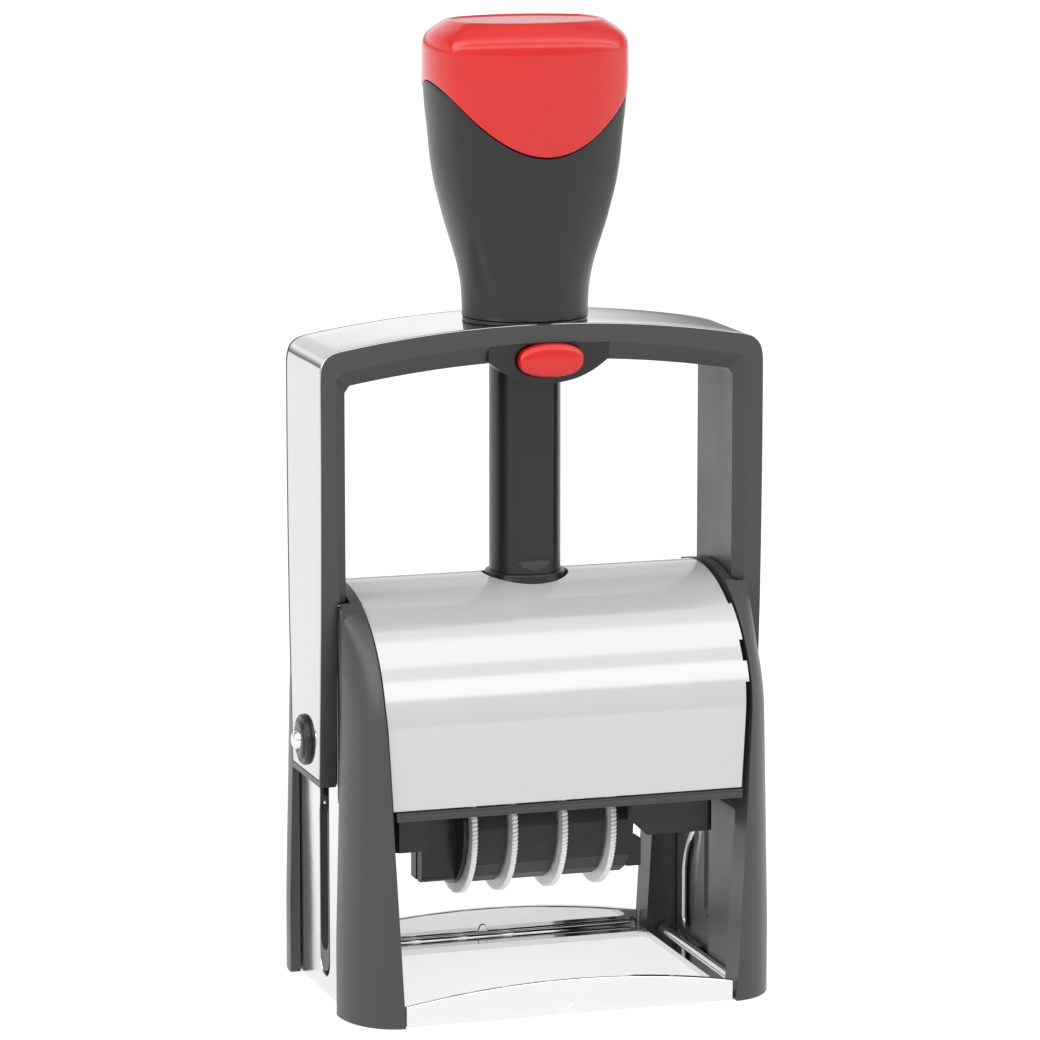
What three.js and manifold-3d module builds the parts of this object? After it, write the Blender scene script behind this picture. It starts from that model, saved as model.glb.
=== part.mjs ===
// Self-inking rotary date stamp.
// A steel base with two plastic cheeks carries a barrel cover, the ink pad and a fixed column.
// A chromed yoke with a handle slides down round the column. Its two pivot pins carry the print
// unit, which turns over on the way down, so that the inked face meets the paper.
// Millimetres. X runs along the print unit's pivot, the front faces -Y, +Z is up.
// The origin is the centre of the base's underside.

import * as THREE from "three";
import { mergeVertices } from "three/addons/utils/BufferGeometryUtils.js";
import Module from "manifold-3d";

const wasm = await Module();
wasm.setup();

// ---------------------------------------------------------------- driving dimensions

const GAP = 0.3; // left between pieces that touch on the real object

// Motion
const PIVOT_Z = 47.4; // print unit's pivot with the yoke up
const STROKE = 36.0; // yoke travel, which also turns the print unit over
const FACE_HEIGHT = PIVOT_Z - STROKE; // print face to pivot: the face lands on Z = 0

// Yoke
const YOKE_HALF_WIDTH = 41.5;
const YOKE_INNER_HALF_WIDTH = 36.5;
const YOKE_LEG_INNER = 38.5; // legs, outside the steel sides
const YOKE_LEG_SKIN = 0.4; // legs, between the opening and the room for the steel sides
const YOKE_BOTTOM = 40.4;
const YOKE_FLANGE_BOTTOM = 74.2;
const YOKE_TOP = 122.7;
const YOKE_HALF_DEPTH = 11.8;
const YOKE_UNDERSIDE = 116.1;
const CHROME_THICKNESS = 1.0;
const BUTTON_X = 0.9; // lock button's centre

// Base
const BASE_HALF_DEPTH = 28.5;
const LEG_OUTER = 40.4;
const LEG_FOOT_INNER = 31.2; // leg's inner face at the floor
const CHEEK_INNER = 34.4; // cheek's inner face beside the barrel
const CHEEK_TAPER_TOP = 58; // height where the leg's inner face turns upright
const LEG_THICKNESS = 6.6; // front to back, up to the steel side's edge
const STEEL_INNER = 37.2;
const STEEL_OUTER = 38.2;
const STEEL_TOP = 37.6; // top of the wide part of the steel sides
const TONGUE_TOP = 75.4; // top of the narrow part, inside the yoke's legs
const WINDOW_HALF_WIDTH = 30.8;
const WINDOW_HALF_DEPTH = 20.4;

// Barrel cover
const BARREL_CENTRE_Z = 52; // where the flat front turns into the round crown
const COVER_HALF_DEPTH = 27.3;
const COVER_TOP = 76.0;
const COVER_SKIN = 0.5;
const COVER_FRONT_EDGE = 39.4;
const COVER_REAR_EDGE = 41.8;
const CHEEK_TOP = 76.2;

// Column and handle
const COLUMN_RADIUS = 6.5;
const COLUMN_BORE = 5.0;
const COLUMN_TOP = 132;
const HANDLE_BOTTOM = 123.1;
const HANDLE_TOP = 176.4;
const HANDLE_BORE = 8.8;
const SEAM_LOWEST = 152.8; // where the cap's edge dips lowest, at the front and back

// Print unit
const UNIT_HALF_WIDTH = 30;
const UNIT_HALF_DEPTH = 18.5;
const UNIT_WALL = 1.6;
const UNIT_BOTTOM = 29.6;
const AXLE_Z = 30.5;
const AXLE_RADIUS = 1.6;
const WHEEL_RADIUS = 13.4;
const WHEEL_THICKNESS = 1.0;
const HUB_RADIUS = 10.2;
const BAND_RADIUS = 11.5; // outside of a date band on its wheel
const BAND_THICKNESS = 1.0;
const NOSE_RADIUS = 2.0; // outside of a date band at the print face
const BAND_SPANS = [
  { wheel: -13.6, end: -6.95 },
  { wheel: -6.0, end: 2.55 },
  { wheel: 3.5, end: 11.85 },
  { wheel: 12.8, end: 17.3 },
];

// ---------------------------------------------------------------- materials

const paint = (color, roughness, metalness) =>
  new THREE.MeshStandardMaterial({ color, roughness, metalness });

const darkPlastic = paint(0x4b4848, 0.45, 0);
const blackPlastic = paint(0x2c2a2a, 0.35, 0);
const redPlastic = paint(0xea3c38, 0.3, 0);
const whitePlastic = paint(0xe9e7e0, 0.5, 0);
const chrome = paint(0xd8dadc, 0.08, 1);
const pearlSteel = paint(0xd7d7da, 0.22, 0.6);
const springSteel = paint(0x9a9a9c, 0.3, 1);
const bandRubber = paint(0x2a2a2b, 0.6, 0);
const stampRubber = paint(0xb8b0a6, 0.7, 0);
const padFoam = paint(0x23233a, 0.9, 0);

// ---------------------------------------------------------------- solids

function toSolid(geometry) {
  const bare = geometry.clone();
  bare.deleteAttribute("normal");
  bare.deleteAttribute("uv");
  const merged = mergeVertices(bare, 1e-4);
  const corners = merged.index.array;
  const kept = [];
  for (let i = 0; i < corners.length; i += 3) {
    const [a, b, c] = [corners[i], corners[i + 1], corners[i + 2]];
    if (a !== b && b !== c && c !== a) kept.push(a, b, c);
  }
  return new wasm.Manifold(
    new wasm.Mesh({
      numProp: 3,
      vertProperties: new Float32Array(merged.attributes.position.array),
      triVerts: new Uint32Array(kept),
    }),
  );
}

function toGeometry(solid) {
  const mesh = solid.getMesh();
  const geometry = new THREE.BufferGeometry();
  geometry.setAttribute("position", new THREE.BufferAttribute(mesh.vertProperties, 3));
  geometry.setIndex(new THREE.BufferAttribute(mesh.triVerts, 1));
  geometry.computeVertexNormals();
  return geometry;
}

const join = (first, ...others) => others.reduce((whole, next) => whole.add(next), first);
const cut = (first, ...others) => others.reduce((whole, next) => whole.subtract(next), first);

function box(x, y, z) {
  const geometry = new THREE.BoxGeometry(x[1] - x[0], y[1] - y[0], z[1] - z[0]);
  geometry.translate((x[0] + x[1]) / 2, (y[0] + y[1]) / 2, (z[0] + z[1]) / 2);
  return toSolid(geometry);
}

// A shape drawn in the plane across `axis`, in (Y, Z), (X, Z) or (X, Y), from one place to another.
function prism(shape, axis, from, to, segments = 12) {
  const settings = { depth: to - from, bevelEnabled: false, curveSegments: segments };
  const geometry = new THREE.ExtrudeGeometry(shape, settings);
  const [x, y, z] = [0, 1, 2].map((i) => new THREE.Vector3().setComponent(i, 1));
  const turn = new THREE.Matrix4();
  if (axis === "x") turn.makeBasis(y, z, x);
  if (axis === "y") turn.makeBasis(x, z, y.clone().negate());
  geometry.translate(0, 0, axis === "y" ? -to : from);
  geometry.applyMatrix4(turn);
  return toSolid(geometry);
}

const polygon = (points) => new THREE.Shape(points.map(([u, v]) => new THREE.Vector2(u, v)));

function circle(u, v, radius) {
  const shape = new THREE.Shape();
  shape.absarc(u, v, radius, 0, 2 * Math.PI);
  return shape;
}

const cylinder = (axis, radius, from, to, centre = [0, 0], sides = 24) =>
  prism(circle(...centre, radius), axis, from, to, sides / 2);

function roundedRectangle(halfU, halfV, radius, u = 0, v = 0) {
  const shape = new THREE.Shape();
  shape.absarc(u + halfU - radius, v + halfV - radius, radius, 0, Math.PI / 2);
  shape.absarc(u - halfU + radius, v + halfV - radius, radius, Math.PI / 2, Math.PI);
  shape.absarc(u - halfU + radius, v - halfV + radius, radius, Math.PI, 1.5 * Math.PI);
  shape.absarc(u + halfU - radius, v - halfV + radius, radius, 1.5 * Math.PI, 2 * Math.PI);
  return shape;
}

// A profile of [radius, height] pairs turned about the Z axis.
function turned(profile, segments = 32) {
  const points = profile.map(([r, z]) => new THREE.Vector2(r, z));
  const geometry = new THREE.LatheGeometry(points, segments);
  geometry.rotateX(Math.PI / 2);
  return toSolid(geometry);
}

// A closed solid through rings of equal count, each wound anticlockwise about the way it grows.
function loft(rings) {
  const count = rings[0].length;
  const middle = (ring) =>
    ring.reduce((sum, p) => sum.add(p), new THREE.Vector3()).divideScalar(count);
  const vertices = [...rings.flat(), middle(rings[0]), middle(rings.at(-1))];
  const foot = vertices.length - 2;
  const crown = vertices.length - 1;
  const last = (rings.length - 1) * count;
  const faces = [];
  for (let i = 0; i < count; i++) {
    const j = (i + 1) % count;
    for (let start = 0; start < last; start += count) {
      faces.push(start + i, start + j, start + count + j);
      faces.push(start + i, start + count + j, start + count + i);
    }
    faces.push(foot, j, i);
    faces.push(crown, last + i, last + j);
  }
  const geometry = new THREE.BufferGeometry().setFromPoints(vertices);
  geometry.setIndex(faces);
  return toSolid(geometry);
}

// ---------------------------------------------------------------- shared outlines

// Upright front and back with a round crown, as a (Y, Z) outline that starts at the given heights.
function barrelOutline(halfDepth, top, frontEdge, rearEdge, steps = 14) {
  const points = [[-halfDepth, frontEdge]];
  for (let i = 0; i <= 2 * steps; i++) {
    const angle = Math.PI - (i * Math.PI) / (2 * steps);
    const y = halfDepth * Math.cos(angle);
    points.push([y, BARREL_CENTRE_Z + (top - BARREL_CENTRE_Z) * Math.sin(angle)]);
  }
  points.push([halfDepth, rearEdge]);
  return points;
}

// The yoke's outer (X, Z) outline, moved inwards by `inset`.
function yokeOutline(inset, bottom) {
  const side = YOKE_HALF_WIDTH - inset;
  const top = YOKE_TOP - inset;
  const shoulder = [37.9 - inset / 4, 119.4 - inset];
  const shape = new THREE.Shape();
  shape.moveTo(side, bottom);
  shape.lineTo(side, 113.8);
  shape.bezierCurveTo(side, 117.4, side - 0.7, shoulder[1] - 0.6, ...shoulder);
  shape.quadraticCurveTo(shoulder[0] / 2, top + (top - shoulder[1]) * 0.02, 0, top);
  shape.quadraticCurveTo(-shoulder[0] / 2, top + (top - shoulder[1]) * 0.02, -shoulder[0], shoulder[1]);
  shape.bezierCurveTo(-side + 0.7, shoulder[1] - 0.6, -side, 117.4, -side, 113.8);
  shape.lineTo(-side, bottom);
  return shape;
}

// One arched opening through the yoke, as a ring of points at depth y, for lofts that grow to the front.
function archRing(y, halfWidth, corner, apex, bottom) {
  const points = [new THREE.Vector3(halfWidth, y, bottom), new THREE.Vector3(halfWidth, y, corner - 1.2)];
  const steps = 12;
  for (let i = 0; i <= steps; i++) {
    const x = (halfWidth - 0.9) * (1 - (2 * i) / steps);
    const share = x / (halfWidth - 0.9);
    points.push(new THREE.Vector3(x, y, apex - (apex - corner) * share * share));
  }
  points.push(new THREE.Vector3(-halfWidth, y, corner - 1.2), new THREE.Vector3(-halfWidth, y, bottom));
  return points;
}

// ---------------------------------------------------------------- base

function makeBaseFrame() {
  const plate = prism(roundedRectangle(STEEL_OUTER, 21.4, 0.8), "z", 0, 1.2, 1);
  const tongue = prism(roundedRectangle(31, 27.4, 0.8), "z", 0, 1.2, 1);
  const window = prism(roundedRectangle(WINDOW_HALF_WIDTH, WINDOW_HALF_DEPTH, 2), "z", -1, 3, 2);

  const skirtShape = new THREE.Shape();
  skirtShape.moveTo(-31, 0);
  skirtShape.lineTo(31, 0);
  skirtShape.lineTo(31, 3.7);
  skirtShape.quadraticCurveTo(0, 9.1, -31, 3.7);
  const skirts = [-1, 1].map((side) => {
    const skirt = prism(skirtShape, "y", side > 0 ? 26.2 : -27.6, side > 0 ? 27.6 : -26.2, 10);
    const beadCentre = [side * 25.4, 1.1];
    return join(skirt, cylinder("x", 0.9, -30.2, 30.2, beadCentre, 10));
  });

  const sideShape = polygon([
    [-21.4, 0],
    [21.4, 0],
    [21.4, STEEL_TOP],
    [8.8, STEEL_TOP],
    [8.8, TONGUE_TOP - 2],
    [6.8, TONGUE_TOP],
    [-6.8, TONGUE_TOP],
    [-8.8, TONGUE_TOP - 2],
    [-8.8, STEEL_TOP],
    [-21.4, STEEL_TOP],
  ]);
  const straightSlot = roundedRectangle(3.3, 24.4, 3.2, 0, 27.6);
  const sides = [-1, 1].map((side) => {
    const reach = side > 0 ? [STEEL_INNER, STEEL_OUTER] : [-STEEL_OUTER, -STEEL_INNER];
    const plain = prism(sideShape, "x", ...reach);
    const rail = cylinder("y", 1.0, -21, 21, [side * 34.2, 1.1], 10);
    return join(cut(plain, prism(straightSlot, "x", reach[0] - 1, reach[1] + 1, 3)), rail);
  });
  const camSlot = prism(camSlotShape(), "x", STEEL_INNER - 1, STEEL_OUTER + 1);
  return cut(join(plate, tongue, ...skirts, ...sides), window, camSlot);
}

// Curved slot in the right side that turns the print unit: upright near the floor, then leaning to the front.
function camSlotShape() {
  const halfWidth = 2.2;
  const foot = 4.2;
  const dwellTop = 12;
  const head = 21.4;
  const centre = (z) =>
    z < dwellTop ? 16.2 : 16.2 * Math.cos((Math.PI * (z - dwellTop)) / 38);
  const heights = [foot, dwellTop, 14, 16, 18, 20, head];
  const back = heights.map((z) => [centre(z) + halfWidth, z]);
  const front = heights.map((z) => [centre(z) - halfWidth, z]).reverse();
  const roundEnd = (y, z, from) =>
    [1, 2, 3].map((i) => {
      const angle = from + (i * Math.PI) / 4;
      return [y + halfWidth * Math.cos(angle), z + halfWidth * Math.sin(angle)];
    });
  return polygon([
    ...back,
    ...roundEnd(centre(head), head, 0),
    ...front,
    ...roundEnd(centre(foot), foot, Math.PI),
  ]);
}

// Right-hand cheek: two legs, the upright web between them and the round shoulder beside the barrel.
function makeCheek() {
  const outline = polygon(barrelOutline(BASE_HALF_DEPTH, CHEEK_TOP, 0, 0));
  const body = prism(outline, "x", 30, LEG_OUTER);

  const plan = new THREE.Shape();
  const halfRound = 16.4;
  plan.moveTo(30, -BASE_HALF_DEPTH);
  plan.lineTo(LEG_FOOT_INNER, -BASE_HALF_DEPTH);
  const roundX = LEG_OUTER - LEG_FOOT_INNER;
  const roundY = BASE_HALF_DEPTH - halfRound;
  plan.absellipse(LEG_FOOT_INNER, -halfRound, roundX, roundY, -Math.PI / 2, 0);
  plan.absellipse(LEG_FOOT_INNER, halfRound, roundX, roundY, 0, Math.PI / 2);
  plan.lineTo(30, BASE_HALF_DEPTH);
  const rounded = prism(plan, "z", -1, 80, 5);

  const innerTaper = polygon([
    [20, -1],
    [LEG_FOOT_INNER, -1],
    [LEG_FOOT_INNER, 0],
    [CHEEK_INNER, CHEEK_TAPER_TOP],
    [CHEEK_INNER, 80],
    [20, 80],
  ]);
  const outerTaper = polygon([
    [LEG_OUTER, 14],
    [LEG_OUTER - 0.9, 50],
    [LEG_OUTER - 1.3, 64],
    [LEG_OUTER - 2.9, 76],
    [LEG_OUTER - 2.9, 80],
    [50, 80],
    [50, 14],
  ]);
  const legInner = BASE_HALF_DEPTH - LEG_THICKNESS;
  const steelRoom = 0.3 + STEEL_OUTER;
  const yokeRoom = polygon([
    [-15.6, -1],
    [15.6, -1],
    [15.6, 58],
    [13.2, 74],
    [13.2, 80],
    [-13.2, 80],
    [-13.2, 74],
    [-15.6, 58],
  ]);
  const hull = cut(
    body.intersect(rounded),
    prism(innerTaper, "y", -40, 40),
    prism(outerTaper, "y", -40, 40),
    box([29, steelRoom], [-legInner, legInner], [-1, 34]),
    box([STEEL_INNER - GAP, steelRoom], [-legInner, legInner], [-1, STEEL_TOP + GAP]),
    prism(yokeRoom, "x", 36.2, 50),
  );

  const web = polygon([
    [-legInner - 0.4, 2],
    [9.9, 2],
    [3.6, 26],
    [3.6, 36],
    [-legInner - 0.4, 36],
  ]);
  const frontWeb = box([34.9, STEEL_INNER - GAP], [-legInner - 0.4, -2.7], [2, 36]);
  const liner = prism(roundedRectangle(3, 15.9, 2.9, 0, 20), "x", 36.5, STEEL_OUTER, 3);
  const pinSlot = roundedRectangle(2.5, 21.4, 2.4, 0, 29.4);
  return cut(
    join(hull, prism(web, "x", 35.9, STEEL_INNER - GAP), frontWeb, liner),
    prism(pinSlot, "x", 33, 40, 3),
  );
}

function makeBarrelCover() {
  const outside = barrelOutline(COVER_HALF_DEPTH, COVER_TOP, COVER_FRONT_EDGE, COVER_REAR_EDGE);
  const inside = barrelOutline(
    COVER_HALF_DEPTH - COVER_SKIN,
    COVER_TOP - COVER_SKIN,
    COVER_FRONT_EDGE,
    COVER_REAR_EDGE,
  ).reverse();
  const sheet = prism(polygon([...outside, ...inside]), "x", -34.1, 34.0);

  // The left edge follows its cheek. Two short tabs reach the right one, and the rest stands clear.
  const leftEdge = [
    [33.0, COVER_FRONT_EDGE],
    [34.1, CHEEK_TAPER_TOP],
  ];
  const rightEdge = [
    [32.3, COVER_FRONT_EDGE],
    [33.3, 58.5],
    [34.05, 58.5],
    [34.05, 62],
    [33.3, 62],
    [33.3, 65.5],
    [34.05, 65.5],
    [34.05, 71],
    [33.3, 71],
  ];
  const sides = [leftEdge, rightEdge].map((edge, i) => {
    const [foot, head] = [edge[0][0], edge.at(-1)[0]];
    const outline = [[foot, 30], ...edge, [head, 80], [40, 80], [40, 30]];
    return prism(polygon(outline.map(([x, z]) => [i === 0 ? -x : x, z])), "y", -40, 40);
  });
  return cut(sheet, ...sides, cylinder("z", 7.9, 60, 90));
}

function makeRim(front) {
  const height = front ? COVER_FRONT_EDGE : COVER_REAR_EDGE;
  const y = front ? [-27.5, -26.7] : [26.8, 27.5];
  return join(
    box([-32.4, 32.4], y, [height - 1.9, height - GAP]),
    box([-31.6, 31.6], front ? [-27.7, -27.2] : [27.2, 27.7], [height - 1.3, height - 0.7]),
  );
}

function makeColumn() {
  const shell = turned([
    [COLUMN_BORE, 67.5],
    [9.4, 67.5],
    [9.4, 69],
    [COLUMN_RADIUS, 69],
    [COLUMN_RADIUS, COLUMN_TOP - 0.6],
    [COLUMN_RADIUS - 0.6, COLUMN_TOP],
    [COLUMN_BORE, COLUMN_TOP],
    [COLUMN_BORE, 67.5],
  ]);
  const keyway = polygon([
    [-8, 77.2],
    [-5.5, 80],
    [-5.5, 140],
    [-8, 140],
  ]);
  return cut(shell, prism(keyway, "x", -8, 8));
}

const makeColumnCollar = () =>
  turned([
    [6.8, 72.2],
    [7.6, 72.2],
    [7.6, 75.0],
    [7.3, 75.6],
    [7.3, 76.3],
    [6.8, 76.5],
    [6.8, 72.2],
  ]);

function makeCrossBridge() {
  const plate = box([-33.9, 33.9], [-9.6, 9.6], [65.7, 67.2]);
  const screws = [-8, 8].map((y) => cylinder("z", 1.2, 60, 70, [0, y], 12));
  return cut(plate, cylinder("z", 2.5, 60, 70), ...screws, bridgeScrewHoles());
}

const SCREW_PLACES = [-12.5, 12.5];
const bridgeScrewHoles = () =>
  join(...SCREW_PLACES.map((x) => cylinder("z", 1.5, 60, 70, [x, 0], 12)));

function makeBridgeScrew(x) {
  const head = cylinder("z", 2.4, 67.5, 69, [x, 0], 12);
  return join(head, cylinder("z", 1.2, 66, 67.6, [x, 0], 12));
}

function makePadTray() {
  const outer = prism(roundedRectangle(30, 18.8, 2), "z", 61.2, 65.4, 2);
  const recess = prism(roundedRectangle(28.6, 17.4, 1.5), "z", 60, 64.1, 2);
  return cut(outer, recess);
}

const makeInkPad = () => prism(roundedRectangle(28.2, 17, 1.5), "z", 60.9, 63.8, 2);

function makeReturnSpring() {
  const wire = 0.55;
  const radius = 3.9;
  const [foot, head, turns] = [68.6, 127, 11];
  const steps = turns * 9;
  const sides = 4;
  const rings = [];
  for (let i = 0; i <= steps; i++) {
    const angle = (i / steps) * turns * 2 * Math.PI;
    const outward = new THREE.Vector3(Math.cos(angle), Math.sin(angle), 0);
    const centre = outward.clone().multiplyScalar(radius);
    centre.z = foot + ((head - foot) * i) / steps;
    const ring = [];
    for (let k = 0; k < sides; k++) {
      const around = (-k * 2 * Math.PI) / sides;
      const point = centre.clone().addScaledVector(outward, wire * Math.cos(around));
      point.z += wire * Math.sin(around);
      ring.push(point);
    }
    rings.push(ring);
  }
  return loft(rings);
}

// ---------------------------------------------------------------- yoke and handle

// Front-to-back outline of the legs, which narrow towards their feet, as (Y, Z) points.
function yokeDepthOutline(inset) {
  const right = [
    [9.4 - inset, 30],
    [9.4 - inset, YOKE_BOTTOM],
    [10.3 - inset, 57],
    [11.1 - inset, 70],
    [11.5 - inset, 82],
    [YOKE_HALF_DEPTH - inset, 98],
    [YOKE_HALF_DEPTH - inset, 130],
  ];
  return polygon([...right, ...right.map(([y, z]) => [-y, z]).reverse()]);
}

function makeYokeFrame() {
  const portal = prism(yokeOutline(0, YOKE_BOTTOM), "y", -12, 12, 8).intersect(
    prism(yokeDepthOutline(0), "x", -50, 50),
  );
  const opening = loft(
    [9.4, -9.4].map((y) => archRing(y, YOKE_INNER_HALF_WIDTH, 113, YOKE_UNDERSIDE, 20)),
  );
  const flare = (side) => {
    const rings = [
      archRing(side * 9.4, YOKE_INNER_HALF_WIDTH, 113, YOKE_UNDERSIDE, 20),
      archRing(side * 12.1, YOKE_INNER_HALF_WIDTH + 2.5, 115.9, YOKE_UNDERSIDE + 3.9, 20),
    ];
    return loft(side > 0 ? rings.reverse() : rings);
  };
  const band = cut(
    prism(yokeOutline(-5, 41.5), "y", -11.35, 11.35, 8),
    prism(yokeOutline(CHROME_THICKNESS + GAP, 0), "y", -20, 20, 8),
  ).intersect(prism(yokeDepthOutline(0.45), "x", -50, 50));
  const room = [YOKE_INNER_HALF_WIDTH + YOKE_LEG_SKIN, YOKE_LEG_INNER];
  const sides = [-1, 1].flatMap((side) => [
    cylinder("x", 2.5, side > 0 ? 38 : -42, side > 0 ? 42 : -38, [0, PIVOT_Z], 16),
    box(side > 0 ? room : room.map((x) => -x).reverse(), [-9.1, 9.1], [30, 112.5]),
  ]);
  const plain = cut(
    portal,
    opening,
    flare(-1),
    flare(1),
    band,
    ...sides,
    box([-YOKE_LEG_INNER, YOKE_LEG_INNER], [-15, 15], [30, YOKE_FLANGE_BOTTOM]),
  );

  const boss = [
    [BUTTON_X + 11.3, 119.2],
    [BUTTON_X - 11.3, 119.2],
  ];
  for (let u = -1; u <= 1.001; u += 0.125) {
    boss.push([BUTTON_X + 11.3 * u, 112.1 + 4.2 * Math.abs(u) ** 2.3]);
  }
  return cut(
    join(plain, prism(polygon(boss), "y", -11.5, -9.2)),
    prism(buttonOutline(0.3), "y", -15, -9.6, 10),
    cylinder("z", 7.0, 100, 130),
    cylinder("z", HANDLE_BORE, 118.2, 130),
  );
}

function makeChromeBand() {
  const sheet = cut(
    prism(yokeOutline(-0.12, YOKE_BOTTOM + 1.4), "y", -11.1, 11.1, 8),
    prism(yokeOutline(CHROME_THICKNESS, 0), "y", -20, 20, 8),
  ).intersect(prism(yokeDepthOutline(0.7), "x", -50, 50));
  const pinHoles = cylinder("x", 2.5, -50, 50, [0, PIVOT_Z], 16);
  return cut(sheet, pinHoles, cylinder("z", HANDLE_BORE, 110, 130));
}

// Heights, half width along X, half depth along Y and squareness of the grip's sections.
const GRIP_SECTIONS = [
  [HANDLE_BOTTOM, 11.55, 11.4, 2.0],
  [125.5, 11.5, 11.2, 2.1],
  [129, 11.8, 11.1, 2.2],
  [132.6, 12.5, 11.3, 2.3],
  [136.3, 13.5, 11.8, 2.4],
  [140, 14.5, 12.4, 2.5],
  [144, 15.6, 13.0, 2.6],
  [148, 16.5, 13.6, 2.7],
  [152.5, 17.2, 14.2, 2.75],
  [157, 17.8, 14.7, 2.8],
  [162, 18.3, 15.1, 2.8],
  [166, 18.6, 15.3, 2.8],
  [170.5, 18.55, 15.3, 2.8],
  [173, 18.0, 14.8, 2.8],
  [174.8, 16.8, 13.6, 2.8],
  [175.9, 15.2, 12.1, 2.8],
  [HANDLE_TOP, 13.2, 10.3, 2.8],
];

function makeGripBlank() {
  const sides = 36;
  return loft(
    GRIP_SECTIONS.map(([z, halfX, halfY, squareness]) =>
      Array.from({ length: sides }, (_, i) => {
        const angle = (i * 2 * Math.PI) / sides;
        const [c, s] = [Math.cos(angle), Math.sin(angle)];
        const x = halfX * Math.sign(c) * Math.abs(c) ** (2 / squareness);
        const y = halfY * Math.sign(s) * Math.abs(s) ** (2 / squareness);
        return new THREE.Vector3(x, y, z);
      }),
    ),
  );
}

// Everything above the swept line where the cap meets the grip: low in the middle, high at the sides.
function aboveSweep(lift) {
  const points = [];
  for (let x = -21; x <= 21; x += 2.1) points.push([x, SEAM_LOWEST + lift + 0.039 * x * x]);
  return prism(polygon([...points, [21, 200], [-21, 200]]), "y", -30, 30);
}

const makeHandleGrip = () =>
  cut(makeGripBlank(), aboveSweep(-GAP), cylinder("z", HANDLE_BORE, 100, 180));

const makeHandleCap = () =>
  cut(makeGripBlank().intersect(aboveSweep(0)), cylinder("z", HANDLE_BORE, 100, 173.6));

const makeHandleCore = () =>
  turned([
    [7.0, 118.5],
    [8.5, 118.5],
    [8.5, 173.3],
    [0, 173.3],
    [0, 128],
    [4.4, 128],
    [4.4, 169.5],
    [7.0, 169.5],
    [7.0, 118.5],
  ]);

// Right-hand pin, from inside the print unit's wall to the rivet head outside the yoke.
function makePivotPin() {
  const shaft = cylinder("x", 2.2, 28.6, 42.4, [0, PIVOT_Z], 16);
  const neck = cylinder("x", 1.7, 42.3, 43.4, [0, PIVOT_Z], 16);
  return join(shaft, neck, cylinder("x", 1.2, 43.3, 44.1, [0, PIVOT_Z], 16));
}

function makePivotBoss() {
  const flange = cylinder("x", 4.6, 41.9, 42.5, [0, PIVOT_Z], 24);
  const dome = cylinder("x", 3.6, 42.4, 43.0, [0, PIVOT_Z], 24);
  return cut(join(flange, dome), cylinder("x", 2.5, 40, 44, [0, PIVOT_Z], 16));
}

// The lock button's oval, wider by `grow` all round.
function buttonOutline(grow) {
  const shape = new THREE.Shape();
  shape.absellipse(BUTTON_X, 116.4, 6.1 + grow, 3.0 + grow, 0, 2 * Math.PI);
  return shape;
}

function makeLockButton() {
  const stem = prism(buttonOutline(0), "y", -13.4, -11.4, 12);
  const crown = prism(buttonOutline(-0.7), "y", -14.0, -13.3, 12);
  return join(stem, crown);
}

// ---------------------------------------------------------------- print unit

function makePrintFrame() {
  const top = PIVOT_Z + FACE_HEIGHT - 3.5;
  const shell = prism(roundedRectangle(UNIT_HALF_WIDTH, UNIT_HALF_DEPTH, 1), "z", UNIT_BOTTOM, top, 2);
  const hollow = box(
    [UNIT_WALL - UNIT_HALF_WIDTH, UNIT_HALF_WIDTH - UNIT_WALL],
    [UNIT_WALL - UNIT_HALF_DEPTH, UNIT_HALF_DEPTH - UNIT_WALL],
    [UNIT_BOTTOM - 1, top - 1.8],
  );
  const wheelGap = polygon([
    [-24, UNIT_BOTTOM - 1],
    [17.4, UNIT_BOTTOM - 1],
    [17.4, UNIT_BOTTOM],
    [14.2, UNIT_BOTTOM + 3],
    [14.2, 45],
    [-24, 45],
  ]);
  const bandWindow = box([-13.4, 17.9], [-5, 5], [top - 3, top + 1]);
  const stud = cylinder("x", 1.9, 29, 31.4, [-15, PIVOT_Z + 6.2], 12);
  return cut(
    join(shell, stud),
    hollow,
    prism(wheelGap, "y", -30, 30),
    bandWindow,
    cylinder("x", 2.5, -40, 40, [0, PIVOT_Z], 16),
  );
}

function makeDateBracket() {
  const drum = cylinder("x", BAND_RADIUS, -15.2, -14.4, [0, AXLE_Z], 32);
  const left = cut(
    join(prism(roundedRectangle(6.2, 15.9, 1.2, 0, 36.4), "x", -21.6, -14.7, 2), drum),
    box([-22, -15.2], [0.6, 7], [20, 27.5]),
    box([-22, -20.9], [-3.6, -2.6], [20, 26]),
  );
  const rightPlate = polygon([
    [-6.2, 30.4],
    [-2.4, 27.9],
    [6.2, 27.9],
    [6.2, 52.3],
    [-6.2, 52.3],
  ]);
  const right = join(
    prism(rightPlate, "x", 17.7, 21.4),
    box([17.7, 18.2], [-6.2, 6.2], [20.9, 31]),
    box([17.7, 20.4], [-6.2, -2.4], [20.9, 26]),
  );
  const nose = prism(roundedRectangle(0.85, 5.8, 0.8, 0, 51.8), "x", -12.9, 17.4, 2);
  const spine = box([-15, 18], [-1.6, 1.6], [46, 50]);
  const axleBore = cylinder("x", AXLE_RADIUS + 0.05, -30, 30, [0, AXLE_Z], 24);
  return cut(join(left, right, nose, spine), axleBore);
}

const makeWheelAxle = () => cylinder("x", AXLE_RADIUS, -21.3, 21.1, [0, AXLE_Z], 24);

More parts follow.
